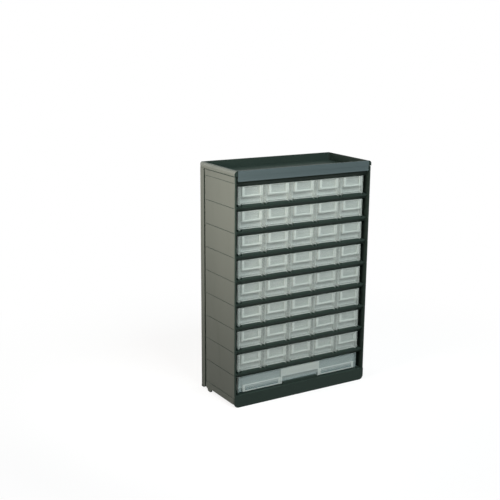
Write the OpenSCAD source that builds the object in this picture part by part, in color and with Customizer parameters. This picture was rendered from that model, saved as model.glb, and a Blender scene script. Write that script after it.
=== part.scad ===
// Parts bin cabinet: storeys of small clear drawers stacked over one wide drawer, an open tray on
// top and one moulded cover behind. The storeys stand on each other, and every drawer runs on its own track.
// Millimetres. The front faces -Y, +Z is up, and the origin is on the ground under the middle of the cabinet.

/* [Cabinet] */
// Width over the top tray and the base skirt
cabinet_w = 305; // [290:1:330]
// Depth from the tray's front to the back of the rear cover
cabinet_d = 135; // [120:1:170]
// Height over the top tray; the storeys share what the base and the tray leave
cabinet_h = 450; // [420:1:500]
// How far the tray rim and the base skirt stand out beside the walls
side_proud = 1; // [0.6:0.1:1.6]
// How far the tray's front stands out before the storeys
front_proud = 0.5; // [0.3:0.1:1]
// Thickness of the cabinet's walls
wall = 2.2; // [1.8:0.1:2.6]
// Width of the front posts at the walls' front edges
post_w = 3.6; // [3.2:0.1:4.4]
// Depth of the front posts
post_d = 11; // [10:0.5:13]
// Rounding of the upright front edges
post_r = 1.8; // [1:0.1:2.4]
// Height of the shadow line at the foot of each storey
seam_h = 0.8; // [0.4:0.1:1.2]
// Depth of the shadow line
seam_d = 0.6; // [0.3:0.1:0.8]
// Clearance where one cabinet piece nests in another
nest_gap = 0.3; // [0.2:0.05:0.5]

/* [Storeys] */
// Storeys of small drawers
rows = 8; // [7:1:9]
// Small drawers side by side
columns = 5; // [4:1:5]
// Thickness of a storey's floor
floor_t = 2; // [1.6:0.1:2.4]
// Height of a drawer track above the floor
track_h = 3.2; // [2.4:0.1:4]
// Width of the slope on each side of a track
track_slope = 3; // [2:0.5:4]
// Width of the guide ribs between drawers
guide_w = 3.5; // [2.5:0.5:4]
// Height of the guide ribs above the floor
guide_h = 3; // [2.4:0.1:3.6]
// Gap between the outermost guide ribs and the posts
guide_edge = 5.6; // [4.4:0.1:6.4]
// How far the nose of a floor stands behind the posts' front
nose_recess = 4.5; // [3:0.5:6]
// Depth of the nose from front to back
nose_d = 6; // [5:0.5:7]
// How far the nose hangs below its floor
nose_drop = 6.7; // [5:0.1:8]
// How far the nose's foot is raked back
nose_rake = 4.2; // [1:0.1:4.4]

/* [Small drawers] */
// How far the drawer fronts stand behind the posts' front
face_recess = 8.5; // [7.5:0.5:10]
// Gap between neighbouring drawer fronts
face_gap = 1.2; // [0.8:0.1:2.4]
// Clearance between the sloping lower corners of the drawer fronts and the guide ribs
corner_clear = 0.6; // [0.4:0.1:1]
// Gap between a drawer front and the nose above it
face_clear = 0.9; // [0.5:0.1:1.5]
// Thickness of a drawer front
face_t = 2; // [1.6:0.1:2.4]
// Thickness of the drawer walls
bin_wall = 1.4; // [1.1:0.1:1.8]
// Thickness of the drawer floors
bin_floor = 1.6; // [1.2:0.1:2]
// Running clearance under and beside a drawer
run_gap = 0.4; // [0.3:0.05:0.6]
// Gap between a drawer's side and the guide rib
body_gap = 1.6; // [1.2:0.1:2]
// How far the drawer's rim stays below the top of its front
rim_drop = 2.4; // [1:0.1:5]
// How far a drawer pulls out before its ears meet the nose above
drawer_travel = 100; // [60:1:104]
// Height of the stop ears above the rim
ear_h = 6.5; // [5.4:0.1:7]
// Length of a stop ear's top
ear_l = 3; // [2:0.5:5]

/* [Label holders] */
// Width of the label holder on a small drawer
label_w = 43.4; // [38:0.1:44]
// Height of the label holder
label_h = 18.4; // [14:0.1:21]
// How far it stands out from the drawer front
label_out = 3; // [2:0.1:3.6]
// Thickness of its front lip
label_lip = 1.2; // [0.8:0.1:1.5]
// Width of its upright ribs
label_side = 5.6; // [4:0.1:7]
// Height of its bottom rib
label_foot = 3.2; // [2.4:0.1:4]
// How far the lip reaches over the label card
label_hold = 1.8; // [1:0.1:2.4]
// Depth of the finger scoop behind the drawer front
scoop_d = 1.6; // [0.8:0.1:2.2]
// Height of the finger lip along the front's foot
pull_h = 1.9; // [1.2:0.1:3]
// How far the finger lip stands out
pull_out = 1.6; // [0.8:0.1:2.4]

/* [Wide drawer] */
// Half width of its middle handle
grip_x = 42; // [34:1:50]
// Height of the handle's hood above the scoop
hood_h = 15.4; // [12:0.2:18]
// Width of the ribs at the ends of the handle and of the front
grip_rib = 3; // [2:0.5:4]
// Width of the strip at each end of the front that stands back
cheek_w = 8; // [6:0.5:12]
// How far that strip stands back
cheek_set = 1.4; // [0.8:0.1:1.8]
// Height of the label shelves beside the handle
shelf_h = 14; // [11:0.5:18]
// Frame width round a label shelf's window
shelf_frame = 2.4; // [1.6:0.2:4]
// Depth of a label shelf's window
shelf_sink = 1; // [0.6:0.1:1.4]
// Thickness of the wide drawer's walls
wide_wall = 1.8; // [1.4:0.1:2.2]
// Height of the broad track under the handle
wide_track_h = 6; // [4:0.2:8]
// Gap between the bay's floor and the shelves' foot
wide_lift = 3; // [1:0.2:4]

/* [Base] */
// Height of the base up to the first storey
base_h = 64.3; // [58:0.1:72]
// Height of the base's front panel and of the bay's floor behind it
plinth_h = 24; // [20:0.5:28]
// Height of the proud skirt on the base's sides
skirt_h = 19; // [14:0.5:22]
// Clearance under the base between its feet
foot_h = 7; // [4:0.5:9]
// Length of a side foot
foot_l = 14; // [10:1:20]
// Rounding of a side foot
foot_r = 4; // [2:0.5:5]
// Distance from a side foot to the end of the side wall
foot_back = 6; // [4:1:12]
// Rounding of the lower front corners
plinth_r = 9; // [5:0.5:12]

/* [Top tray] */
// Height of the tray piece
tray_h = 22.5; // [20:0.5:28]
// Height of the proud rim
rim_h = 10; // [8:0.5:12]
// Depth of the tray
tray_deep = 15.5; // [11:0.5:17]
// Width of the rim along the sides
rim_side = 8; // [6:0.5:10]
// Width of the rim along the front and back
rim_end = 3; // [2.4:0.2:5]
// Rounding of the rim's outer top edges and of the upper front corners
rim_r = 7; // [4:0.5:7.5]
// Rounding of the rim's lower outer edges
rim_foot_r = 1.6; // [0.8:0.1:2.4]
// Height of the shadow line under the rim
rim_line_h = 1.2; // [0.6:0.1:2]
// Depth of the shadow line under the rim
rim_line_d = 1.2; // [0.6:0.1:1.4]
// Height of the front panel's foot above the storey below
panel_lift = 3; // [1:0.1:4]
// Width of the groove between the front panel and the ends of the rim
panel_groove = 1; // [0.6:0.1:1.6]
// Rounding of the rim's rear corners in plan
rim_rear_r = 8; // [4:0.5:12]
// Thickness of the bowl below the rim
bowl_wall = 1.6; // [1.2:0.1:2]
// Rounding of the bowl's upright corners
bowl_r = 3; // [2:0.5:6]

/* [Rear cover] */
// Depth of the band that shows behind the groove
band_d = 17.5; // [14:0.5:22]
// Width of the groove between the walls and the band
groove_w = 6; // [4:0.5:8]
// How far the cover's tongue reaches into the walls
tongue_d = 6; // [4:0.5:10]
// Thickness of the tongue
tongue_t = 2; // [1.6:0.1:2.4]
// Thickness of the back plate
back_t = 2.4; // [1.8:0.1:3]
// Rounding of the cover's upright rear edges
band_r = 5; // [3:0.5:7]
// Height of the cover above the ground between its feet
band_lift = 4; // [3:0.5:6]
// Width of the cover's feet
heel_w = 10; // [6:1:16]
// Depth of the cover's feet
heel_d = 8; // [5:1:12]
// Radius of the keyholes' entry
key_r = 4.5; // [4:0.1:6]
// Width of the keyholes' neck
key_neck = 4.4; // [3.6:0.1:5]
// Length of the neck above the entry
key_slot = 7; // [5:0.5:10]
// Distance between the keyholes
key_span = 200; // [120:5:240]
// Distance from the keyholes to the top
key_drop = 60; // [40:1:90]

/* [Hidden] */
// Node names: rows count from the top and columns from the left
function drawer_name(r, c) = str("drawer_r", r, "c", c);
function storey_name(r) = str("row_frame_", r);

plastic = [0.17, 0.21, 0.19];
clear_grey = [0.70, 0.74, 0.71, 0.55];

eps = 0.5;        // overlap of joined forms
cut = 1;          // how far a cut runs past the faces it opens
chamfer = 1;      // of the long edges of the wide drawer, the noses and the tray's panel
bead_h = 1.6;     // bead along the foot of the tray's panel
bead_out = 0.4;
arc_steps = 4;    // flats in a rounded upright edge near the drawers
post_cham = 0.6;  // of the posts' edge towards the drawers
round_fn = 48;

// Planes of the cabinet
row_pitch = (cabinet_h - base_h - tray_h) / rows;
front_y = -cabinet_d / 2;
back_y = cabinet_d / 2;
storey_y = front_y + front_proud;
wall_x = cabinet_w / 2 - side_proud;
wall_in = wall_x - wall;
bay_x = wall_x - post_w;
band_y = back_y - band_d;
wall_end = band_y - groove_w;
tongue_y = wall_end - tongue_d;
tongue_x = wall_in - nest_gap;
cover_in = tongue_x - tongue_t;
floor_x = cover_in - nest_gap;
back_in = back_y - back_t;
tray_z = base_h + rows * row_pitch;
top_z = cabinet_h;
rim_z = top_z - rim_h;

// Floors, tracks and noses
col_pitch = (2 * bay_x - guide_w - 2 * guide_edge) / columns;
track_z = floor_t + track_h;
guide_z = floor_t + guide_h;
guide_slope = guide_w / 3;
skid_w = bin_wall;
body_x = (col_pitch - guide_w) / 2 - body_gap;
track_x = body_x - skid_w - run_gap;
nose_y = storey_y + nose_recess;
nose_back = nose_y + nose_d;
nose_brow = 1.2;   // run of the nose's sloping upper edge up to the track
brow_z = 2 * track_z - floor_t - chamfer;   // the slope ends above the guide ribs
nose_chin = 0.8;   // height of its upright front below the floor
floor_gap = 3;     // between the floors and the rear cover
floor_end = back_in - floor_gap;
nest_drop = 3;     // height of the ribs that nest in the storey below
nest_t = 2;
nest_back = 1;     // from the nesting ribs to the rear cover's tongue

// Small drawers
face_y = storey_y + face_recess;
face_x = (col_pitch - face_gap) / 2;
face_foot = track_z + run_gap;
face_top = row_pitch - nose_drop - face_clear;
lobe_lift = 1.2;   // from the skids up to the front's lower corners
lobe_z = floor_t + run_gap + lobe_lift;
corner_z = guide_z + corner_clear;   // the sloping corners pass over the guide ribs
corner_x = guide_w / 2 + corner_clear - face_gap / 2;
bin_rim = face_top - rim_drop;
bin_back = 1.5;    // from a drawer's back to the end of its floor
bin_end = floor_end - bin_back;
label_z = face_top - label_h;
scoop_bevel = 1.2;
scoop_x = label_w / 2 - 1;   // the label holder reaches over the scoop's sides

// Wide drawer and base
wide_x = bay_x - guide_edge - guide_w - run_gap;
wide_side = 1;     // from the front's ends to the bin's sides
wide_body = wide_x - wide_side;
wide_top = base_h - nose_drop - face_clear;
wide_foot = plinth_h + wide_track_h + run_gap;
wide_rim = wide_top - rim_drop;
wide_lobe = plinth_h + wide_lift;
wide_skid = plinth_h + run_gap;
wide_ear_h = ear_h - 1;
shelf_back = 0.6;  // from the handle's front back to the shelves'
skirt_cut = 1;     // from the cover's sides to its feet

function column_x(c) = (c - (columns + 1) / 2) * col_pitch;
function guide_x(g) = (g - columns / 2) * col_pitch;
function storey_z(r) = base_h + (rows - r) * row_pitch;

// Points of an arc, from angle a to angle b
function arc(x, y, r, a, b, steps) =
    [for (i = [0:steps]) [x + r * cos(a + (b - a) * i / steps), y + r * sin(a + (b - a) * i / steps)]];

// A bump of a floor's top line, from its foot to its top and back
function bump(x, half, slope, low, high) =
    [[x - half, low], [x - half + slope, high], [x + half - slope, high], [x + half, low]];

// The drawn outline, which lies in X and Z, swept from y0 to y1
module along_y(y0, y1) {
    translate([0, y1, 0]) rotate([90, 0, 0]) linear_extrude(y1 - y0) children();
}

// The drawn outline, which lies in Y and Z, swept from x0 to x1
module along_x(x0, x1) {
    translate([x0, 0, 0]) rotate([90, 0, 90]) linear_extrude(x1 - x0) children();
}

module box(low, high) {
    translate(low) cube(high - low);
}

module both_sides() {
    children();
    mirror([1, 0, 0]) children();
}

// ---- Walls and floors that the storeys, the base and the tray share

// Plan of the right wall with its thicker front post; inset draws the shadow line
module wall_plan(inset = 0) {
    x = wall_x - inset;
    y = storey_y + inset;
    polygon(concat(
        [[bay_x, y + post_cham], [min(bay_x + post_cham, x - post_r), y]],
        arc(x - post_r, y + post_r, post_r, -90, 0, arc_steps),
        [[x, wall_end], [wall_in, wall_end], [wall_in, storey_y + post_d], [bay_x, storey_y + post_d]]
    ));
}

module walls(height) {
    both_sides() {
        linear_extrude(seam_h) wall_plan(seam_d);
        translate([0, 0, seam_h]) linear_extrude(height - seam_h) wall_plan();
    }
}

// Ribs under a piece that nest inside the walls below it
module nest_ribs() {
    both_sides()
        box([tongue_x - nest_t, storey_y + post_d, -nest_drop], [tongue_x, tongue_y - nest_back, floor_t]);
}

// Flat strips from the floor's sides to the walls
module side_strips(z) {
    both_sides()
        box([floor_x - eps, nose_back - eps, z], [wall_in + eps, tongue_y - nest_back, z + floor_t]);
}

// Top line of a storey's floor, left to right: guide ribs and tracks in turn
function floor_line() = concat(
    bump(guide_x(0), guide_w / 2, guide_slope, floor_t, guide_z),
    [for (c = [1:columns]) each concat(
        bump(column_x(c), track_x, track_slope, floor_t, track_z),
        bump(guide_x(c), guide_w / 2, guide_slope, floor_t, guide_z)
    )]
);

// Underside of the floor, right to left: it follows the tracks
function floor_under() = [
    for (c = [columns:-1:1], p = bump(-column_x(c), track_x - floor_t, track_slope, 0, track_h)) [-p[0], p[1]]
];

// Front view of a nose: its top line, and a drop that fits between the posts below
module nose_front(top_line) {
    drop_x = bay_x - nest_gap;
    polygon(concat(
        [[-bay_x - eps, floor_t]], top_line, [[bay_x + eps, floor_t]],
        [[bay_x + eps, 0], [drop_x, 0], [drop_x, -nose_drop]],
        [[-drop_x, -nose_drop], [-drop_x, 0], [-bay_x - eps, 0]]
    ));
}

// Side view of a nose: raked foot, upright front and a sloping brow
module nose_side() {
    polygon([
        [nose_back, -nose_drop], [nose_y + nose_rake, -nose_drop], [nose_y, -nose_chin],
        [nose_y, floor_t + chamfer], [nose_y + 2 * nose_brow, brow_z], [nose_back, brow_z]
    ]);
}

module nose(top_line) {
    intersection() {
        along_y(nose_y - cut, nose_back + cut) nose_front(top_line);
        along_x(-wall_x, wall_x) nose_side();
    }
}

// ---- Storey: walls, ribbed floor and nose

module storey() {
    walls(row_pitch);
    side_strips(0);
    nest_ribs();
    nose(floor_line());
    along_y(nose_back - eps, floor_end)
        polygon(concat(
            [[-floor_x, floor_t]], floor_line(), [[floor_x, floor_t], [floor_x, 0]],
            floor_under(), [[-floor_x, 0]]
        ));
}

module row_frame(r) {
    color(plastic) translate([0, 0, storey_z(r)]) storey();
}

// ---- Base: wide drawer bay on a skirt with feet

module plinth_front() {
    low_x = wall_x - plinth_r;
    polygon(concat(
        [[-wall_x, plinth_h]],
        arc(-low_x, plinth_r, plinth_r, 180, 270, 2 * arc_steps),
        arc(low_x, plinth_r, plinth_r, 270, 360, 2 * arc_steps),
        [[wall_x, plinth_h]]
    ));
}

// Side view of the lower wall: its edge is lifted between the front and the foot
module skirt_side() {
    foot_end = wall_end - foot_back;
    foot_y = foot_end - foot_l;
    polygon(concat(
        [[storey_y + post_r, skirt_h], [storey_y + post_r, plinth_r], [storey_y + 2 * post_r, foot_h]],
        [[foot_y - foot_r, foot_h]],
        arc(foot_y + foot_r, foot_r, foot_r, 180, 270, arc_steps),
        arc(foot_end - foot_r, foot_r, foot_r, 270, 360, arc_steps),
        [[wall_end, foot_h], [wall_end, skirt_h]]
    ));
}

// One broad track in the middle of the bay, as wide as the drawer's handle
function wide_line() =
    bump(0, grip_x - run_gap, track_slope, plinth_h, plinth_h + wide_track_h);

module base() {
    color(plastic) {
        // walls above the plinth
        translate([0, 0, plinth_h - eps]) both_sides() linear_extrude(base_h - plinth_h + eps) wall_plan();
        // outer walls and proud skirt down to the feet
        both_sides() {
            box([wall_in, storey_y + post_r, foot_h], [wall_x, wall_end, plinth_h]);
            along_x(wall_in, wall_x + side_proud) skirt_side();
        }
        // front panel with its rounded lower corners
        along_y(storey_y, storey_y + wall) plinth_front();
        // bay floor with the broad track, under the posts too
        along_y(nose_y, floor_end) polygon(concat(
            [[-floor_x, plinth_h]], wide_line(), [[floor_x, plinth_h]],
            [[floor_x, plinth_h - floor_t], [-floor_x, plinth_h - floor_t]]
        ));
        box(
            [-wall_in - eps, storey_y + wall - eps, plinth_h - floor_t],
            [wall_in + eps, nose_back, plinth_h]
        );
        side_strips(plinth_h - floor_t);
        // guide ribs at the bay's sides
        both_sides()
            box(
                [bay_x - guide_edge - guide_w, nose_y, plinth_h - eps],
                [bay_x - guide_edge, floor_end, plinth_h + guide_h]
            );
        // ribs that carry the floor on the ground's side
        for (x = [-1, 1] * bay_x / 2)
            box([x - wall / 2, storey_y + wall - eps, foot_h], [x + wall / 2, floor_end, plinth_h - eps]);
    }
}

// ---- Top tray: a bowl hung in a rounded rim over a storey's walls

module rim_front() {
    half = cabinet_w / 2;
    low_x = half - rim_foot_r;
    polygon(concat(
        arc(-low_x, rim_z + rim_foot_r, rim_foot_r, 180, 270, arc_steps),
        arc(low_x, rim_z + rim_foot_r, rim_foot_r, 270, 360, arc_steps),
        arc(half - rim_r, top_z - rim_r, rim_r, 0, 90, 3 * arc_steps),
        arc(-half + rim_r, top_z - rim_r, rim_r, 90, 180, 3 * arc_steps)
    ));
}

module rim_plan() {
    half = cabinet_w / 2;
    polygon(concat(
        arc(half - post_r, front_y + post_r, post_r, -90, 0, arc_steps),
        arc(half - rim_rear_r, back_y - rim_rear_r, rim_rear_r, 0, 90, 2 * arc_steps),
        arc(-half + rim_rear_r, back_y - rim_rear_r, rim_rear_r, 90, 180, 2 * arc_steps),
        arc(-half + post_r, front_y + post_r, post_r, 180, 270, arc_steps)
    ));
}

// Plan of the bowl, grown by g
module bowl_plan(g) {
    half = cabinet_w / 2 - rim_side + g;
    front = front_y + rim_end - g;
    back = back_y - rim_end + g;
    r = bowl_r + g;
    polygon(concat(
        arc(half - r, front + r, r, -90, 0, arc_steps),
        arc(half - r, back - r, r, 0, 90, arc_steps),
        arc(-half + r, back - r, r, 90, 180, arc_steps),
        arc(-half + r, front + r, r, 180, 270, arc_steps)
    ));
}

// Side view of the front panel under the rim, with a bead along its foot
module panel_side() {
    foot_z = tray_z + panel_lift;
    polygon([
        [front_y, foot_z], [front_y, foot_z + bead_h], [front_y + bead_out, foot_z + bead_h + bead_out],
        [front_y + bead_out, rim_z + eps], [front_y + rim_end, rim_z + eps],
        [front_y + rim_end, foot_z + chamfer], [front_y + rim_end - chamfer, foot_z]
    ]);
}

module top_tray() {
    bowl_z = top_z - tray_deep;
    panel_x = cabinet_w / 2 - rim_side + panel_groove;
    color(plastic) difference() {
        union() {
            intersection() {
                along_y(front_y, back_y) rim_front();
                linear_extrude(top_z + cut) rim_plan();
            }
            // the bowl's walls below the rim stay inside the walls and the rear cover
            intersection() {
                translate([0, 0, bowl_z - floor_t])
                    linear_extrude(rim_z - bowl_z + floor_t + eps) bowl_plan(bowl_wall);
                box([-wall_x, storey_y + wall, 0], [wall_x, back_in - nest_gap, top_z]);
            }
            translate([0, 0, tray_z]) {
                walls(tray_h - rim_h - rim_line_h);
                translate([0, 0, tray_h - rim_h - rim_line_h - eps]) both_sides()
                    linear_extrude(rim_line_h + 2 * eps) wall_plan(rim_line_d);
                nose([]);
                box([-bay_x - eps, nose_y, 0], [bay_x + eps, nose_y + wall, bowl_z - tray_z - floor_t + eps]);
            }
            along_x(-panel_x, panel_x) panel_side();
        }
        translate([0, 0, bowl_z]) linear_extrude(tray_deep + cut) bowl_plan(0);
        // the ends of the rim stand back beside the panel, with a groove between
        both_sides() {
            box([panel_x, front_y - cut, tray_z], [cabinet_w / 2 + cut, storey_y, top_z + cut]);
            box(
                [panel_x, front_y - cut, tray_z],
                [panel_x + panel_groove, storey_y + panel_groove, top_z + cut]
            );
        }
    }
}

// ---- Rear cover: back plate, side bands and a tongue behind the walls

module cover_plan() {
    polygon(concat(
        [[tongue_x, band_y], [wall_x, band_y]],
        arc(wall_x - band_r, back_y - band_r, band_r, 0, 90, 2 * arc_steps),
        [[0, back_y], [0, back_in], [cover_in, back_in], [cover_in, tongue_y], [tongue_x, tongue_y]]
    ));
}

module keyhole() {
    deep = back_t + 2 * cut;
    rotate([-90, 0, 0]) cylinder(h = deep, r = key_r, $fn = round_fn);
    box([-key_neck / 2, 0, 0], [key_neck / 2, deep, key_r + key_slot]);
    translate([0, 0, key_r + key_slot]) rotate([-90, 0, 0]) cylinder(h = deep, d = key_neck, $fn = round_fn);
}

module rear_cover() {
    heel_x = wall_x - skirt_cut;
    heel_y = back_y - skirt_cut;
    color(plastic) difference() {
        union() {
            translate([0, 0, band_lift]) both_sides() linear_extrude(rim_z - band_lift) cover_plan();
            // bottom lip and feet
            box([-cover_in - eps, band_y, band_lift], [cover_in + eps, back_in + eps, band_lift + back_t]);
            both_sides()
                box([heel_x - heel_w, heel_y - heel_d, 0], [heel_x, heel_y, band_lift + eps]);
        }
        for (x = [-1, 1] * key_span / 2)
            translate([x, back_in - cut, top_z - key_drop]) keyhole();
    }
}

// ---- Small drawer: label holder, finger scoop, skids and stop ears

// The front's outline: a shallow notch in its foot steps over the track
module face_outline() {
    lobe_x = track_x - track_slope / 2 + run_gap;
    polygon([
        [-face_x, face_top], [-face_x, corner_z], [-face_x + corner_x, lobe_z],
        [-lobe_x, lobe_z], [-lobe_x + track_slope / 2, face_foot],
        [lobe_x - track_slope / 2, face_foot], [lobe_x, lobe_z],
        [face_x - corner_x, lobe_z], [face_x, corner_z], [face_x, face_top]
    ]);
}

// A frame open at the top: ribs at both sides and along the foot
module label_frame(side, foot) {
    half = label_w / 2;
    polygon([
        [-half, face_top], [-half, label_z], [half, label_z], [half, face_top],
        [half - side, face_top], [half - side, label_z + foot],
        [-half + side, label_z + foot], [-half + side, face_top]
    ]);
}

// Side view of the front's middle: label back, scoop and finger lip
module scoop_side() {
    y = face_y + scoop_d;
    polygon([
        [face_y, face_foot], [face_y - pull_out, face_foot], [face_y - pull_out, face_foot + pull_h],
        [y, face_foot + pull_h + scoop_bevel], [y, label_z - scoop_bevel], [face_y, label_z],
        [face_y, face_top], [face_y + face_t, face_top], [face_y + face_t, label_z + scoop_bevel],
        [y + face_t, label_z - scoop_bevel], [y + face_t, face_foot]
    ]);
}

module stop_ear(x) {
    y = nose_back + drawer_travel;
    along_x(x, x + bin_wall) polygon([
        [y, bin_rim - eps], [y, bin_rim + ear_h], [y + ear_l, bin_rim + ear_h],
        [y + ear_l + ear_h / 2, bin_rim - eps]
    ]);
}

module small_drawer() {
    // front: cheeks beside the scoop, the scooped middle and the label holder
    difference() {
        along_y(face_y, face_y + face_t) face_outline();
        box([-scoop_x, face_y - cut, 0], [scoop_x, face_y + face_t + cut, row_pitch]);
    }
    along_x(-scoop_x - eps / 2, scoop_x + eps / 2) scoop_side();
    both_sides()
        box(
            [scoop_x - eps / 2, face_y + face_t - eps, face_foot],
            [body_x, face_y + face_t + scoop_d, bin_rim]
        );
    along_y(face_y - label_out, face_y - label_out + label_lip) label_frame(label_side, label_foot);
    along_y(face_y - label_out + label_lip - 0.1, face_y + 0.1)
        label_frame(label_side - label_hold, label_foot - label_hold);
    // bin
    difference() {
        box([-body_x, face_y + face_t - eps, face_foot], [body_x, bin_end, bin_rim]);
        box(
            [-body_x + bin_wall, face_y + face_t - cut, face_foot + bin_floor],
            [body_x - bin_wall, bin_end - bin_wall, bin_rim + cut]
        );
    }
    // skids beside the track
    both_sides()
        box([body_x - skid_w, face_y + face_t - eps, floor_t + run_gap], [body_x, bin_end, face_foot + eps]);
    stop_ear(body_x - bin_wall);
    stop_ear(-body_x);
}

module drawer(r, c) {
    color(clear_grey) translate([column_x(c), 0, storey_z(r)]) small_drawer();
}

// ---- Wide drawer: hooded handle in the middle, label shelves beside it

module grip_side() {
    out = face_y - label_out;
    y = face_y + scoop_d;
    hood_z = wide_top - hood_h;
    polygon([
        [face_y, wide_foot], [y, wide_foot + chamfer], [y, hood_z - chamfer],
        [out + face_t, hood_z + face_t], [out + face_t, hood_z], [out, hood_z],
        [out, wide_top - chamfer], [out + chamfer, wide_top], [face_y + face_t, wide_top],
        [face_y + face_t, hood_z + 2 * face_t], [y + face_t, hood_z], [y + face_t, wide_foot]
    ]);
}

module shelf_side() {
    out = face_y - label_out + shelf_back;
    ledge_z = wide_lobe + shelf_h;
    polygon([
        [out, wide_lobe], [out, ledge_z - chamfer], [out + chamfer, ledge_z], [face_y, ledge_z],
        [face_y, wide_top], [face_y + face_t, wide_top], [face_y + face_t, wide_lobe]
    ]);
}

module large_drawer() {
    out = face_y - label_out;
    side_end = wide_x - cheek_w;
    color(clear_grey) {
        // handle and its end ribs
        along_x(-grip_x - eps, grip_x + eps) grip_side();
        both_sides()
            box([grip_x, out, wide_lobe], [grip_x + grip_rib, face_y + face_t + scoop_d, wide_top]);
        // label shelves with a sunk window, then a strip that stands back and the end ribs
        both_sides() {
            difference() {
                along_x(grip_x + grip_rib - eps, side_end + eps) shelf_side();
                box(
                    [grip_x + 2 * grip_rib + shelf_frame, out - cut, wide_lobe + shelf_frame],
                    [side_end - grip_rib, out + shelf_back + shelf_sink, wide_lobe + shelf_h - shelf_frame]
                );
            }
            cheek_y = face_y + cheek_set;
            box([side_end - eps, cheek_y, wide_lobe], [wide_x, cheek_y + face_t, wide_top]);
            box([wide_x - grip_rib, face_y, wide_lobe], [wide_x, cheek_y + eps, wide_top]);
        }
        // bin and skids
        difference() {
            box([-wide_body, face_y + face_t - eps, wide_foot], [wide_body, bin_end, wide_rim]);
            box(
                [-wide_body + wide_wall, face_y + face_t - cut, wide_foot + bin_floor],
                [wide_body - wide_wall, bin_end - wide_wall, wide_rim + cut]
            );
        }
        both_sides() for (x = [grip_x + run_gap, wide_body - wide_wall])
            box([x, face_y + face_t - eps, wide_skid], [x + wide_wall, bin_end, wide_foot + eps]);
        // closes the front behind the scoop
        box(
            [-wide_body, face_y + face_t - eps, wide_foot],
            [wide_body, face_y + face_t + scoop_d, wide_foot + 2 * face_t]
        );
        for (x = [-wide_body, wide_body - wide_wall])
            along_x(x, x + wide_wall) wide_ear();
    }
}

module wide_ear() {
    y = nose_back + drawer_travel;
    polygon([
        [y, wide_rim - eps], [y, wide_rim + wide_ear_h], [y + ear_l, wide_rim + wide_ear_h],
        [y + ear_l + wide_ear_h / 2, wide_rim - eps]
    ]);
}

base();
top_tray();
rear_cover();
large_drawer();
for (r = [1:rows])
    row_frame(r);
for (r = [1:rows], c = [1:columns])
    drawer(r, c);
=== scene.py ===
import math

import bpy
from mathutils import Matrix, Vector


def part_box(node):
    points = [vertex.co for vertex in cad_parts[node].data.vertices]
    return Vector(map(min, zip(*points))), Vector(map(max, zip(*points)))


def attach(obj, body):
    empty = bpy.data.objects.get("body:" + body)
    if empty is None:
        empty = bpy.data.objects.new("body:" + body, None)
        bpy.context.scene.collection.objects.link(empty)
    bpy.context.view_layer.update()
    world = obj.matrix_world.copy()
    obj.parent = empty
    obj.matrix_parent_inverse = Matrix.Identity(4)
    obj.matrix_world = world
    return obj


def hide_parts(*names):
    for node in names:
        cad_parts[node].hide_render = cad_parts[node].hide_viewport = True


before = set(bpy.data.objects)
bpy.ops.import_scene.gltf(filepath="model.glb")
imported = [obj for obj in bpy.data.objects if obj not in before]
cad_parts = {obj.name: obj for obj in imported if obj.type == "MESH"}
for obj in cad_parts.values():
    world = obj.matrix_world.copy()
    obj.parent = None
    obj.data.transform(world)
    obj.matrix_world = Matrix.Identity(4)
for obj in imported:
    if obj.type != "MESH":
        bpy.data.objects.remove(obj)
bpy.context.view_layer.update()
mm = 0.001


rows, columns = 8, 5
drawerNames = [f"drawer_r{r}c{c}" for r in range(1, rows + 1) for c in range(1, columns + 1)]
storeyNames = [f"row_frame_{r}" for r in range(1, rows + 1)]
print("frame loaded:", len(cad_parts), "nodes")


def addObject(name, data):
    made = bpy.data.objects.new(name, data)
    bpy.context.scene.collection.objects.link(made)
    return made


# camera and light

view = {
    "azimuth": -33.0, "elevation": 15.2, "roll": 0.94,  # degrees
    "distance": 1.842,
    "lens": 67.5,
    "aim": (-0.0016, 0, 0.2233),
    "shift": (-0.068, 0.052),
}


def addCamera():
    turn, lift = math.radians(view["azimuth"]), math.radians(view["elevation"])
    away = Vector((math.sin(turn) * math.cos(lift), -math.cos(turn) * math.cos(lift), math.sin(lift)))
    data = bpy.data.cameras.new("camera")
    data.lens = view["lens"]
    data.shift_x, data.shift_y = view["shift"]
    camera = addObject("camera", data)
    tilt = away.to_track_quat("Z", "Y").to_matrix() @ Matrix.Rotation(math.radians(view["roll"]), 3, "Z")
    camera.matrix_world = Matrix.Translation(Vector(view["aim"]) + away * view["distance"]) @ tilt.to_4x4()
    bpy.context.scene.camera = camera


lights = [
    {"name": "keyLeft", "at": (-0.55, -0.13, 0.47), "to": (-0.15, 0, 0.42), "size": 0.2, "power": 3.5,
     "colour": (0.98, 0.91, 0.85), "spread": 170},
    {"name": "fillHigh", "at": (0.1, -1.12, 1.5), "to": (0, 0, 0.25), "size": 0.8, "power": 9.2,
     "colour": (0.88, 0.97, 1.0), "spread": 100},
    {"name": "fillLow", "at": (-0.7, -1.6, 0.4), "to": (0, 0, 0.25), "size": 0.8, "power": 0.7,
     "colour": (1.0, 0.97, 0.92), "spread": 100},
    {"name": "fillRight", "at": (1.35, 0.25, 0.75), "to": (0.15, 0, 0.25), "size": 0.8, "power": 3.4,
     "colour": (1.0, 0.98, 0.94), "spread": 100},
    {"name": "fillBack", "at": (-0.35, 1.55, 0.8), "to": (0, 0.07, 0.25), "size": 0.8, "power": 5.2,
     "colour": (1.0, 0.98, 0.94), "spread": 100},
]
skyLook = {"colour": (0.95, 0.98, 1.0), "level": 0.06}  # light from all round


def addLights():
    for lamp in lights:
        data = bpy.data.lights.new(lamp["name"], "AREA")
        data.size, data.energy, data.color = lamp["size"], lamp["power"], lamp["colour"]
        data.spread = math.radians(lamp["spread"])
        light = addObject(lamp["name"], data)
        light.visible_camera = False
        light.location = lamp["at"]
        light.rotation_euler = (Vector(lamp["at"]) - Vector(lamp["to"])).to_track_quat("Z", "Y").to_euler()


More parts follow.
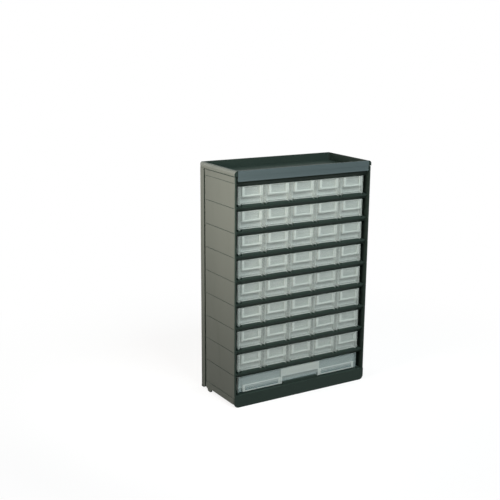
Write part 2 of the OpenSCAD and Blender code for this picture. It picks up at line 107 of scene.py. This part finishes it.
def seenRay(nodes, links):
    # 1 for rays from the camera, off gloss and through clear plastic
    path = nodes.new("ShaderNodeLightPath")
    total = path.outputs["Is Camera Ray"]
    for ray in ("Is Glossy Ray", "Is Transmission Ray"):
        join = nodes.new("ShaderNodeMath")
        join.operation = "MAXIMUM"
        links.new(total, join.inputs[0])
        links.new(path.outputs[ray], join.inputs[1])
        total = join.outputs[0]
    return total


def blendColours(nodes, links, source, first, second):
    mix = nodes.new("ShaderNodeMix")
    mix.data_type = "RGBA"
    mix.inputs["A"].default_value = (*first, 1)
    mix.inputs["B"].default_value = (*second, 1)
    links.new(source, mix.inputs["Factor"])
    return mix.outputs["Result"]


def addSky():
    # plain white where it is seen, and a low level where it only lights
    world = bpy.data.worlds.new("studio")
    bpy.context.scene.world = world
    world.use_nodes = True
    nodes, links = world.node_tree.nodes, world.node_tree.links
    nodes.clear()
    sky = nodes.new("ShaderNodeBackground")
    sky.inputs["Color"].default_value = (*skyLook["colour"], 1)
    sky.inputs["Strength"].default_value = skyLook["level"]
    white = nodes.new("ShaderNodeBackground")
    white.inputs["Color"].default_value = (1, 1, 1, 1)
    switch = nodes.new("ShaderNodeMixShader")
    out = nodes.new("ShaderNodeOutputWorld")
    links.new(seenRay(nodes, links), switch.inputs["Fac"])
    links.new(sky.outputs[0], switch.inputs[1])
    links.new(white.outputs[0], switch.inputs[2])
    links.new(switch.outputs[0], out.inputs["Surface"])


floorLook = {
    "size": 12,
    "seen": (0.9, 0.9, 0.9),
    "bounce": (0.18, 0.18, 0.18),  # its colour as it lights the object
    "shadow": 0.2, "near": 0.25, "far": 0.8,  # share that shows shade up to near, none past far
}


def addFloor():
    bpy.ops.mesh.primitive_plane_add(size=floorLook["size"])
    floor = bpy.context.object
    floor.name = "floor"
    paint = bpy.data.materials.new("paleFloor")
    paint.use_nodes = True
    nodes, links = paint.node_tree.nodes, paint.node_tree.links
    nodes.clear()
    out = nodes.new("ShaderNodeOutputMaterial")
    diffuse = nodes.new("ShaderNodeBsdfDiffuse")
    ray = seenRay(nodes, links)
    colour = blendColours(nodes, links, ray, floorLook["bounce"], floorLook["seen"])
    links.new(colour, diffuse.inputs["Color"])
    white = nodes.new("ShaderNodeEmission")
    place = nodes.new("ShaderNodeTexCoord")
    length = nodes.new("ShaderNodeVectorMath")
    length.operation = "LENGTH"
    fade = nodes.new("ShaderNodeMapRange")
    fade.interpolation_type = "SMOOTHSTEP"
    fade.inputs["From Min"].default_value = floorLook["near"]
    fade.inputs["From Max"].default_value = floorLook["far"]
    fade.inputs["To Min"].default_value = 1 - floorLook["shadow"]
    fade.inputs["To Max"].default_value = 1
    seen = nodes.new("ShaderNodeMath")
    seen.operation = "MULTIPLY"
    switch = nodes.new("ShaderNodeMixShader")
    links.new(place.outputs["Object"], length.inputs[0])
    links.new(length.outputs["Value"], fade.inputs["Value"])
    links.new(fade.outputs["Result"], seen.inputs[0])
    links.new(ray, seen.inputs[1])
    links.new(seen.outputs[0], switch.inputs["Fac"])
    links.new(diffuse.outputs[0], switch.inputs[1])
    links.new(white.outputs[0], switch.inputs[2])
    links.new(switch.outputs[0], out.inputs["Surface"])
    floor.data.materials.append(paint)


bpy.context.scene.view_settings.view_transform = "Standard"
addCamera()
addLights()
addSky()
addFloor()
print("camera, lights and floor placed")


# finishes

surfaceDetail = {
    "grainDetail": 3,
    "driftDetail": 1,
    "marksScale": 38, "marksDetail": 6, "marksTwist": 0.8,
    "marksFrom": 0.52, "marksTo": 0.74,  # where the handling marks begin and are full
}


def socket(group, name, kind, way):
    group.interface.new_socket(name=name, in_out=way, socket_type=kind)


def mouldedSurface():
    # grain, slow colour drift and handling marks of a moulded surface
    group = bpy.data.node_groups.new("mouldedSurface", "ShaderNodeTree")
    socket(group, "Position", "NodeSocketVector", "INPUT")
    socket(group, "Grain Scale", "NodeSocketFloat", "INPUT")
    socket(group, "Drift Scale", "NodeSocketFloat", "INPUT")
    socket(group, "Stretch", "NodeSocketVector", "INPUT")
    socket(group, "Grain", "NodeSocketFloat", "OUTPUT")
    socket(group, "Drift", "NodeSocketFloat", "OUTPUT")
    socket(group, "Marks", "NodeSocketFloat", "OUTPUT")
    nodes, links = group.nodes, group.links
    given, out = nodes.new("NodeGroupInput"), nodes.new("NodeGroupOutput")
    grain = nodes.new("ShaderNodeTexNoise")
    grain.inputs["Detail"].default_value = surfaceDetail["grainDetail"]
    drift = nodes.new("ShaderNodeTexNoise")
    drift.inputs["Detail"].default_value = surfaceDetail["driftDetail"]
    stretch = nodes.new("ShaderNodeVectorMath")
    stretch.operation = "MULTIPLY"
    marks = nodes.new("ShaderNodeTexNoise")
    marks.inputs["Scale"].default_value = surfaceDetail["marksScale"]
    marks.inputs["Detail"].default_value = surfaceDetail["marksDetail"]
    marks.inputs["Distortion"].default_value = surfaceDetail["marksTwist"]
    cut = nodes.new("ShaderNodeMapRange")
    cut.inputs["From Min"].default_value = surfaceDetail["marksFrom"]
    cut.inputs["From Max"].default_value = surfaceDetail["marksTo"]
    links.new(given.outputs["Position"], grain.inputs["Vector"])
    links.new(given.outputs["Grain Scale"], grain.inputs["Scale"])
    links.new(given.outputs["Position"], stretch.inputs[0])
    links.new(given.outputs["Stretch"], stretch.inputs[1])
    links.new(stretch.outputs["Vector"], drift.inputs["Vector"])
    links.new(given.outputs["Drift Scale"], drift.inputs["Scale"])
    links.new(stretch.outputs["Vector"], marks.inputs["Vector"])
    links.new(marks.outputs["Fac"], cut.inputs["Value"])
    links.new(grain.outputs["Fac"], out.inputs["Grain"])
    links.new(drift.outputs["Fac"], out.inputs["Drift"])
    links.new(cut.outputs["Result"], out.inputs["Marks"])
    return group


surfaceGroup = mouldedSurface()


def ranged(nodes, links, source, low, high):
    node = nodes.new("ShaderNodeMapRange")
    node.inputs["To Min"].default_value = low
    node.inputs["To Max"].default_value = high
    links.new(source, node.inputs["Value"])
    return node.outputs["Result"]


def mouldedPlastic(name, look):
    paint = bpy.data.materials.new(name)
    paint.use_nodes = True
    nodes, links = paint.node_tree.nodes, paint.node_tree.links
    shader = nodes["Principled BSDF"]
    place = nodes.new("ShaderNodeTexCoord")
    surface = nodes.new("ShaderNodeGroup")
    surface.node_tree = surfaceGroup
    surface.inputs["Grain Scale"].default_value = look["grainScale"]
    surface.inputs["Drift Scale"].default_value = look["driftScale"]
    surface.inputs["Stretch"].default_value = look["stretch"]
    links.new(place.outputs["Object"], surface.inputs["Position"])
    colour = blendColours(nodes, links, surface.outputs["Drift"], look["dark"], look["light"])
    links.new(colour, shader.inputs["Base Color"])
    rough = ranged(nodes, links, surface.outputs["Marks"], *look["rough"])
    links.new(rough, shader.inputs["Roughness"])
    bump = nodes.new("ShaderNodeBump")
    bump.inputs["Strength"].default_value = look["bump"]
    bump.inputs["Distance"].default_value = look["grainDepth"]
    links.new(surface.outputs["Grain"], bump.inputs["Height"])
    links.new(bump.outputs["Normal"], shader.inputs["Normal"])
    shader.inputs["Specular IOR Level"].default_value = look["specular"]
    if "alpha" in look:
        alpha = ranged(nodes, links, surface.outputs["Drift"], *look["alpha"])
        links.new(alpha, shader.inputs["Alpha"])
    return paint


cabinetLook = {
    "dark": (0.020, 0.032, 0.026), "light": (0.027, 0.040, 0.033),
    "rough": (0.42, 0.52), "specular": 0.08,
    "grainScale": 1400, "driftScale": 11, "stretch": (1, 1, 0.35), "bump": 0.25, "grainDepth": 0.0002,
}
# the tray's front panel is paler and bluer than the rest of the same plastic: a painted reflection
panelReflectionLook = dict(cabinetLook, dark=(0.078, 0.102, 0.104), light=(0.092, 0.118, 0.120))
# the outer walls are textured and rougher, and paler than the rest of the same plastic: a painted sheen of
# the light they catch from the side
wallSheenLook = dict(
    cabinetLook, dark=(0.088, 0.097, 0.084), light=(0.108, 0.118, 0.103),
    rough=(0.55, 0.66), bump=0.4,
)
drawerLook = {
    "dark": (0.78, 0.85, 0.79), "light": (0.86, 0.91, 0.85),
    "rough": (0.2, 0.34), "specular": 0.7,
    "grainScale": 1100, "driftScale": 60, "stretch": (0.25, 0.25, 3), "bump": 0.05, "grainDepth": 0.0002,
    "alpha": (0.34, 0.46),
}
plateLook = dict(drawerLook, alpha=(0.19, 0.29))
ribAndHighlightLook = dict(drawerLook, alpha=(0.30, 0.39))  # thick ribs and edges look whiter than the plate behind them; along the drawers' top edge the same paint is a painted highlight
# darker and clearer in the scoop than the rest of the drawer: painted shade in the hollow
shadedScoopLook = dict(drawerLook, dark=(0.70, 0.76, 0.72), light=(0.76, 0.82, 0.78), alpha=(0.12, 0.20))
# the hood's paint also lies along the wide drawer's top edge as a painted highlight
hoodAndHighlightLook = dict(drawerLook, alpha=(0.40, 0.47), driftScale=30)
# a darker, bluer copy of the drawers' clear plastic for the wide drawer's plate: painted shade
shadedShelfLook = dict(
    drawerLook, dark=(0.48, 0.61, 0.61), light=(0.54, 0.67, 0.67),
    alpha=(0.24, 0.30), driftScale=30,
)
cabinetPlastic = mouldedPlastic("cabinetPlastic", cabinetLook)
panelReflectionPlastic = mouldedPlastic("panelReflectionPlastic", panelReflectionLook)
wallSheenPlastic = mouldedPlastic("wallSheenPlastic", wallSheenLook)
drawerPlastic = mouldedPlastic("drawerPlastic", drawerLook)
platePlastic = mouldedPlastic("platePlastic", plateLook)
ribAndHighlightPlastic = mouldedPlastic("ribAndHighlightPlastic", ribAndHighlightLook)
shadedScoopPlastic = mouldedPlastic("shadedScoopPlastic", shadedScoopLook)
hoodAndHighlightPlastic = mouldedPlastic("hoodAndHighlightPlastic", hoodAndHighlightLook)
shadedShelfPlastic = mouldedPlastic("shadedShelfPlastic", shadedShelfLook)
print("finishes made")


# modelling helpers, which take their sizes in millimetres

front, back = (0, -1, 0), (0, 1, 0)
up, down = (0, 0, 1), (0, 0, -1)
right, left = (1, 0, 0), (-1, 0, 0)
facingLimit = 0.95  # how nearly a chosen face looks the way that is asked for
slack = 0.1  # room for faces and points that are chosen by their place
hair = 0.01  # the same, where other points lie close by
rounding = {"segments": 2, "fromAngle": 28}  # edges that turn by fewer degrees stay as they are
merging = {"points": 0.002, "flat": 0.5}  # millimetres between points, degrees between faces
joining = {
    "merge": 0.06,  # shorter edges would hold the bevel back
    "sortFrom": (0.371, 0.713, 0.539),  # in metres, a point with hardly two corners equally far from it
}


def pick(piece):
    bpy.ops.object.select_all(action="DESELECT")
    piece.select_set(True)
    bpy.context.view_layer.objects.active = piece


def applyModifiers(piece):
    pick(piece)
    for modifier in list(piece.modifiers):
        bpy.ops.object.modifier_apply(modifier=modifier.name)


def softenEdges(piece, width):
    bevel = piece.modifiers.new("edges", "BEVEL")
    bevel.width = width * mm  # where edges lie close together Blender makes it narrower
    bevel.segments = rounding["segments"]
    bevel.limit_method = "ANGLE"
    bevel.angle_limit = math.radians(rounding["fromAngle"])
    applyModifiers(piece)
    bpy.ops.object.shade_smooth()
    flat = piece.modifiers.new("flats", "WEIGHTED_NORMAL")
    flat.keep_sharp = True
    applyModifiers(piece)


def mergedCopy(node, name):
    # the node's own solid as one joined skin of whole faces
    piece = addObject(name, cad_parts[node].data.copy())
    piece.data.materials.clear()
    pick(piece)
    bpy.ops.mesh.customdata_custom_splitnormals_clear()
    bpy.ops.object.mode_set(mode="EDIT")
    bpy.ops.mesh.select_all(action="SELECT")
    bpy.ops.mesh.remove_doubles(threshold=merging["points"] * mm)
    bpy.ops.mesh.dissolve_limited(angle_limit=math.radians(merging["flat"]))
    bpy.ops.object.mode_set(mode="OBJECT")
    return piece


def block(name, low, high):
    bpy.ops.object.select_all(action="DESELECT")
    middle = [(a + b) / 2 * mm for a, b in zip(low, high)]
    size = [(b - a) * mm for a, b in zip(low, high)]
    # no finish reads a texture map, so none is made
    bpy.ops.mesh.primitive_cube_add(size=1, calc_uvs=False, location=middle, scale=size)
    piece = bpy.context.object
    piece.name = name
    bpy.ops.object.transform_apply(location=True, rotation=True, scale=True)
    return piece


def edit(piece):
    pick(piece)
    bpy.ops.object.mode_set(mode="EDIT")
    bpy.context.tool_settings.mesh_select_mode = (False, False, True)


def done():
    bpy.ops.object.mode_set(mode="OBJECT")


def sliceAcross(piece, axis, places):
    # new edges all round the piece, at each place along the axis
    edit(piece)
    for place in places:
        bpy.ops.mesh.select_all(action="SELECT")
        point, way = [0, 0, 0], [0, 0, 0]
        point[axis], way[axis] = place * mm, 1
        bpy.ops.mesh.bisect(plane_co=point, plane_no=way)
    done()


def chooseFaces(piece, facing, test):
    # faces that look along facing and whose middle passes the test
    edit(piece)
    bpy.ops.mesh.select_all(action="DESELECT")
    done()
    for face in piece.data.polygons:
        face.select = face.normal.dot(Vector(facing)) > facingLimit and test(*(face.center / mm))
    edit(piece)


def choosePoints(piece, test):
    edit(piece)
    bpy.ops.mesh.select_all(action="DESELECT")
    bpy.context.tool_settings.mesh_select_mode = (True, False, False)
    done()
    for point in piece.data.vertices:
        point.select = test(*(point.co / mm))
    bpy.ops.object.mode_set(mode="EDIT")


def extrude(x=0, y=0, z=0):
    bpy.ops.mesh.extrude_region_move(TRANSFORM_OT_translate={"value": (x * mm, y * mm, z * mm)})


def cleanJoin(piece):
    # the bevel also depends on the order of edges, so that is made the same in every run
    bpy.context.scene.cursor.location = joining["sortFrom"]
    edit(piece)
    bpy.ops.mesh.select_all(action="SELECT")
    bpy.ops.mesh.remove_doubles(threshold=joining["merge"] * mm)
    bpy.ops.mesh.sort_elements(type="CURSOR_DISTANCE", elements={"VERT", "EDGE", "FACE"})
    done()


def joinSolids(piece, parts):
    for part in parts:
        join = piece.modifiers.new("join", "BOOLEAN")
        join.operation = "UNION"
        join.solver = "MANIFOLD"
        join.object = part
        applyModifiers(piece)
        bpy.data.objects.remove(part)
    cleanJoin(piece)


def paintAll(piece, paint):
    piece.data.materials.clear()
    piece.data.materials.append(paint)


def paintFaces(piece, paint, test):
    # test gets each face's middle in millimetres and the way it looks
    piece.data.materials.append(paint)
    for face in piece.data.polygons:
        if test(face.center / mm, face.normal):
            face.material_index = len(piece.data.materials) - 1


def finish(piece, body, node):
    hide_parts(node)
    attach(piece, body)


# cabinet mouldings

cabinetMoulding = {
    "edge": 0.5,
    "wallFrom": 151.2,  # the seams between the storeys lie deeper and keep the darker paint, without the painted sheen of the walls
    "flat": 0.95, "round": 0.25,  # least turn outwards of a flat wall and of a rounded one
    "rollHigh": 10.0, "rimBack": 3.0,  # the tray's rolled rim
    "panelHalf": 145.5, "panelDeep": 1.0,  # the tray's front panel
}


def outwards(at, way):
    return way.x * math.copysign(1, at.x)


def onSide(at, way):
    return abs(at.x) > cabinetMoulding["wallFrom"] and outwards(at, way) > cabinetMoulding["flat"]


def onCover(at, way):
    return outwards(at, way) > cabinetMoulding["round"] or way.y > cabinetMoulding["round"]


def paintTray(piece, low, high):
    turned = cabinetMoulding["round"]
    rollFoot, rimFront = high.z - cabinetMoulding["rollHigh"], high.y - cabinetMoulding["rimBack"]
    panelFace = low.y + cabinetMoulding["panelDeep"]

    def onRim(at, way):
        onRoll = outwards(at, way) > turned and at.z > rollFoot and way.y > -turned
        return onRoll or way.y > turned and at.y > rimFront

    def onPanel(at, way):
        return at.y < panelFace and abs(at.x) < cabinetMoulding["panelHalf"]

    # the rolled rim and the back of the rim get the same paler paint, a painted sheen
    paintFaces(piece, wallSheenPlastic, onRim)
    paintFaces(piece, panelReflectionPlastic, onPanel)  # paler than the rest, a painted reflection


def makeMoulding(node):
    piece = mergedCopy(node, node + "_moulding")
    softenEdges(piece, cabinetMoulding["edge"])
    paintAll(piece, cabinetPlastic)
    finish(piece, "cabinet", node)
    # the outer walls, and the rear cover's outer and back faces, get the paler paint: a painted sheen
    paintFaces(piece, wallSheenPlastic, onSide)
    if node == "rear_cover":
        paintFaces(piece, wallSheenPlastic, onCover)
    if node == "top_tray":
        paintTray(piece, *(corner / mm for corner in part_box(node)))


for node in ["base", "rear_cover", "top_tray"] + storeyNames:
    makeMoulding(node)
print("cabinet mouldings made")


# drawers: y runs back from the foremost face and z up from the skids

drawerBuild = {
    "overlap": 0.5,  # how far the bin, skids and ears reach into what they are joined to
    "taper": 0.5, "floorLength": 0.995,  # the bin's floor is narrower on each side, and this share as long
    "scoopSteps": 6,
}


def makeTub(d):
    # open bin: its top is inset and pushed down to the floor
    near = d["face"] + d["plate"] - drawerBuild["overlap"]
    piece = block("bin", (-d["bin"], near, d["foot"]), (d["bin"], d["binBack"], d["rim"]))
    chooseFaces(piece, up, lambda x, y, z: True)
    bpy.ops.mesh.inset(thickness=d["wall"] * mm, use_even_offset=True)
    extrude(z=-(d["rim"] - d["foot"] - d["floor"]))
    inside = d["bin"] - d["wall"]
    narrower = (inside - drawerBuild["taper"]) / inside
    bpy.ops.transform.resize(value=(narrower, drawerBuild["floorLength"], 1))
    done()
    return piece


def makeSkid(d, side, inner, outer):
    x = sorted((side * inner, side * outer))
    near = d["face"] + d["plate"] - drawerBuild["overlap"]
    return block("skid", (x[0], near, 0), (x[1], d["binBack"], d["foot"] + drawerBuild["overlap"]))


def makeStopEar(d, side):
    # upright stop with a ramp behind it
    ramp = (d["earTop"] - d["rim"]) / 2
    x = sorted((side * (d["bin"] - d["wall"]), side * d["bin"]))
    low = (x[0], d["ear"], d["rim"] - drawerBuild["overlap"])
    ear = block("ear", low, (x[1], d["ear"] + d["earLength"] + ramp, d["earTop"]))
    choosePoints(ear, lambda x, y, z: z > d["earTop"] - slack and y > d["ear"] + slack)
    bpy.ops.transform.translate(value=(0, -ramp * mm, 0))
    done()
    return ear


def coveScoop(piece, half, low, high, deep, face):
    # rounded hollow: slices of the front sink along an arc
    steps = drawerBuild["scoopSteps"]
    heights = [low + (high - low) * i / steps for i in range(steps + 1)]
    sliceAcross(piece, 2, heights)
    for height in heights[1:-1]:
        sink = deep * math.sin(math.pi * (height - low) / (high - low))
        choosePoints(piece, lambda x, y, z: abs(x) < half and abs(z - height) < hair and abs(y - face) < hair)
        bpy.ops.transform.translate(value=(0, sink * mm, 0))
        done()


smallDrawer = {
    "half": 27.5, "top": 35.4, "foot": 3.2, "lobe": 1.2, "corner": 1.75, "notch": 21.85,
    "face": 3.0, "plate": 2.0, "highlightStrip": 1.4,
    "label": 21.7, "labelFoot": 17.0, "rib": 5.6, "footRib": 3.2, "lip": 1.2, "hold": 1.8,
    "scoop": 20.7, "scoopEdge": 1.0, "scoopDeep": 1.6, "pull": 1.9, "pullOut": 1.6,
    "bin": 24.75, "binBack": 122.1, "rim": 33.0, "wall": 1.4, "floor": 1.6,
    "ear": 105.3, "earLength": 2.7, "earTop": 39.5,
    "dividers": (48.0, 85.0), "dividerRib": 1.2, "dividerOut": 0.5,
    "dividerRoom": 0.3, "dividerEnd": 0.6,  # room for the wall's slope, and the rib's end inside the wall
    "dividerFoot": 1, "dividerTop": 1.5,  # how far its ends stay from the foot and the rim
    "edge": 0.3,
    "paleTo": 2.9, "scoopFacing": 0.3,  # faces before paleTo are whiter; least turn to the front in the scoop
}


def hangCorners(piece, d):
    # corners beside the track, with a slope across their outer edges
    chooseFaces(piece, down, lambda x, y, z: abs(x) > d["notch"])
    extrude(z=d["lobe"] - d["foot"])
    done()
    choosePoints(piece, lambda x, y, z: abs(x) > d["half"] - slack and z < d["lobe"] + slack)
    bpy.ops.transform.translate(value=(0, 0, (d["foot"] - d["lobe"]) * mm))
    bpy.ops.mesh.select_all(action="SELECT")
    bpy.ops.mesh.remove_doubles(threshold=hair * mm)
    done()


def addScoop(piece, d, pullTop):
    # the back swells where the scoop sinks
    chooseFaces(piece, back, lambda x, y, z: abs(x) < d["scoop"] and d["foot"] < z < d["labelFoot"])
    extrude(y=d["scoopDeep"])
    done()
    half = d["scoop"] - d["scoopEdge"] + slack
    coveScoop(piece, half, pullTop, d["labelFoot"], d["scoopDeep"], d["face"])
    # finger lip along the foot
    chooseFaces(piece, front, lambda x, y, z: abs(x) < d["scoop"] and d["foot"] < z < pullTop)
    extrude(y=-d["pullOut"])
    done()


def addLabelHolder(piece, d, inner, frameFoot):
    # a U of ribs, then a lip that reaches over the card

    def inFrame(x, y, z):
        return abs(x) < d["label"] and z > d["labelFoot"] and (abs(x) > inner or z < frameFoot)

    def onLip(x, y, z):
        return y < d["lip"] and abs(x) < inner + slack and frameFoot - slack < z < d["top"] - slack

    for out in (d["face"] - d["lip"], d["lip"]):
        chooseFaces(piece, front, lambda x, y, z: inFrame(x, y, z) and y < d["face"] + slack)
        extrude(y=-out)
        done()
    for facing, across, upwards in ((right, 1, 0), (left, -1, 0), (up, 0, 1)):
        chooseFaces(piece, facing, onLip)
        extrude(x=across * d["hold"], z=upwards * d["hold"])
        done()


def makeDividerRibs(d, side):
    # pairs of ribs on the wall, which hold a divider between them
    inner = d["bin"] - d["wall"] - d["dividerOut"] - d["dividerRoom"]
    x = sorted((side * inner, side * (d["bin"] - d["dividerEnd"])))
    low, high = d["foot"] + d["dividerFoot"], d["rim"] - d["dividerTop"]
    thick = d["dividerRib"]
    places = [y + gap * thick for y in d["dividers"] for gap in (-1, 1)]
    return [block("rib", (x[0], at - thick / 2, low), (x[1], at + thick / 2, high)) for at in places]


def modelSmallDrawer(d):
    rear = d["face"] + d["plate"]
    piece = block("smallDrawer", (-d["half"], d["face"], d["foot"]), (d["half"], rear, d["top"]))
    inner = d["label"] - d["rib"] + d["hold"]
    pullTop, frameFoot = d["foot"] + d["pull"], d["labelFoot"] + d["footRib"] - d["hold"]
    edges = [d["half"] - d["corner"], d["notch"], d["label"], d["scoop"], d["scoop"] - d["scoopEdge"], inner]
    sliceAcross(piece, 0, edges + [-x for x in edges])
    # the last slice marks off the strip along the top edge that gets a painted highlight
    sliceAcross(piece, 2, [pullTop, d["labelFoot"], frameFoot, d["top"] - d["highlightStrip"]])
    hangCorners(piece, d)
    addScoop(piece, d, pullTop)
    addLabelHolder(piece, d, inner, frameFoot)
    parts = [makeTub(d)]
    for side in (-1, 1):
        parts.append(makeSkid(d, side, d["bin"] - d["wall"], d["bin"]))
        parts.append(makeStopEar(d, side))
        parts.extend(makeDividerRibs(d, side))
    joinSolids(piece, parts)
    return piece


def inScoop(at, way):
    d = smallDrawer
    onFront = -slack < at.y - d["face"] < d["plate"] and way.y < -d["scoopFacing"]
    return onFront and abs(at.x) < d["scoop"] and at.z < d["labelFoot"]


wideDrawer = {
    "half": 138.4, "top": 32.3, "foot": 6.0, "lobe": 2.6,
    "face": 3.0, "plate": 2.0, "highlightStrip": 0.5,
    "grip": 42.0, "gripEdge": 1, "gripRib": 3.0, "hood": 16.9, "scoopDeep": 1.6,
    "ledge": 16.6, "shelfOut": 2.4, "frame": 2.4, "sink": 1.0,
    "endRib": 3.0, "cheek": 8.0, "cheekBack": 1.4,
    "bin": 137.4, "binBack": 122.1, "rim": 29.9, "wall": 1.8, "floor": 1.6,
    "skid": 42.4, "ear": 105.3, "earLength": 2.7, "earTop": 35.4,
    "edge": 0.45,
    "paleTo": 0.8,
}


def addHandle(piece, d, ribEnd):
    # the back swells where the scoop sinks, under a hood with a rib at each end
    chooseFaces(piece, back, lambda x, y, z: d["foot"] - slack < z < d["hood"])
    extrude(y=d["scoopDeep"])
    done()
    coveScoop(piece, d["grip"] - d["gripEdge"] + slack, d["foot"], d["hood"], d["scoopDeep"], d["face"])

    def onHandle(x, y, z):
        return abs(x) < d["grip"] and z > d["hood"] or d["grip"] < abs(x) < ribEnd

    chooseFaces(piece, front, onHandle)
    extrude(y=-d["face"])
    done()


def addShelves(piece, d, ribEnd, shelfEnd):
    # label shelves and their windows
    shelfFace = d["face"] - d["shelfOut"] + slack

    def onShelf(x, y, z):
        return ribEnd < abs(x) < shelfEnd and z < d["ledge"] and y > d["face"] - slack

    def inWindow(x, y, z):
        return ribEnd + d["gripRib"] < x < shelfEnd - d["gripRib"] and z < d["ledge"] and y < shelfFace

    chooseFaces(piece, front, onShelf)
    extrude(y=-d["shelfOut"])
    done()
    for side in (-1, 1):
        chooseFaces(piece, front, lambda x, y, z: inWindow(x * side, y, z))
        bpy.ops.mesh.dissolve_faces()
        bpy.ops.mesh.inset(thickness=d["frame"] * mm, use_even_offset=True)
        extrude(y=d["sink"])
        done()


def addCheeks(piece, d, shelfEnd, cheekEnd):
    # strips that stand back at both ends, with a rib along their outer edge
    chooseFaces(piece, back, lambda x, y, z: abs(x) > shelfEnd)
    extrude(y=d["cheekBack"])
    done()
    chooseFaces(piece, front, lambda x, y, z: shelfEnd < abs(x) < cheekEnd)
    extrude(y=d["cheekBack"])
    done()


def modelWideDrawer(d):
    rear = d["face"] + d["plate"]
    piece = block("wideDrawer", (-d["half"], d["face"], d["foot"]), (d["half"], rear, d["top"]))
    ribEnd, shelfEnd, cheekEnd = d["grip"] + d["gripRib"], d["half"] - d["cheek"], d["half"] - d["endRib"]
    edges = [
        d["grip"] - d["gripEdge"], d["grip"], ribEnd, ribEnd + d["gripRib"],
        shelfEnd - d["gripRib"], shelfEnd, cheekEnd,
    ]
    sliceAcross(piece, 0, edges + [-x for x in edges])
    sliceAcross(piece, 2, [d["ledge"], d["hood"]])
    # parts beside the scoop that hang lower
    chooseFaces(piece, down, lambda x, y, z: abs(x) > d["grip"])
    extrude(z=d["lobe"] - d["foot"])
    done()
    addHandle(piece, d, ribEnd)
    addShelves(piece, d, ribEnd, shelfEnd)
    addCheeks(piece, d, shelfEnd, cheekEnd)
    parts = [makeTub(d)]
    for side in (-1, 1):
        for inner in (d["skid"], d["bin"] - d["wall"]):
            parts.append(makeSkid(d, side, inner, inner + d["wall"]))
        parts.append(makeStopEar(d, side))
    joinSolids(piece, parts)
    return piece


def paintDrawer(model, d, binPaint, platePaint, paleAndHighlightPaint):
    # the foremost faces are whiter than the plate, and the strip along the top edge is a painted highlight
    plateBack, highlightFrom = d["face"] + d["plate"] + slack, d["top"] - d["highlightStrip"]
    paintAll(model, binPaint)
    paintFaces(model, platePaint, lambda at, way: at.y < plateBack)
    paintFaces(model, paleAndHighlightPaint, lambda at, way: at.y < d["paleTo"] or at.z > highlightFrom and at.y < plateBack)


def placeDrawer(model, node):
    # its own mesh, at the node's place
    low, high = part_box(node)
    piece = addObject(node + "_clear", model.data.copy())
    piece.data.transform(Matrix.Translation(((low.x + high.x) / 2, low.y, low.z)))
    finish(piece, node, node)


small = modelSmallDrawer(smallDrawer)
softenEdges(small, smallDrawer["edge"])
paintDrawer(small, smallDrawer, drawerPlastic, platePlastic, ribAndHighlightPlastic)
# the scoop's faces get the darker paint, painted shade
paintFaces(small, shadedScoopPlastic, inScoop)
for node in drawerNames:
    placeDrawer(small, node)
bpy.data.objects.remove(small)
print("small drawers made")
wide = modelWideDrawer(wideDrawer)
softenEdges(wide, wideDrawer["edge"])
# the wide drawer's plate gets the darker, bluer paint: painted shade
paintDrawer(wide, wideDrawer, drawerPlastic, shadedShelfPlastic, hoodAndHighlightPlastic)
placeDrawer(wide, "large_drawer")
bpy.data.objects.remove(wide)
print("wide drawer made")
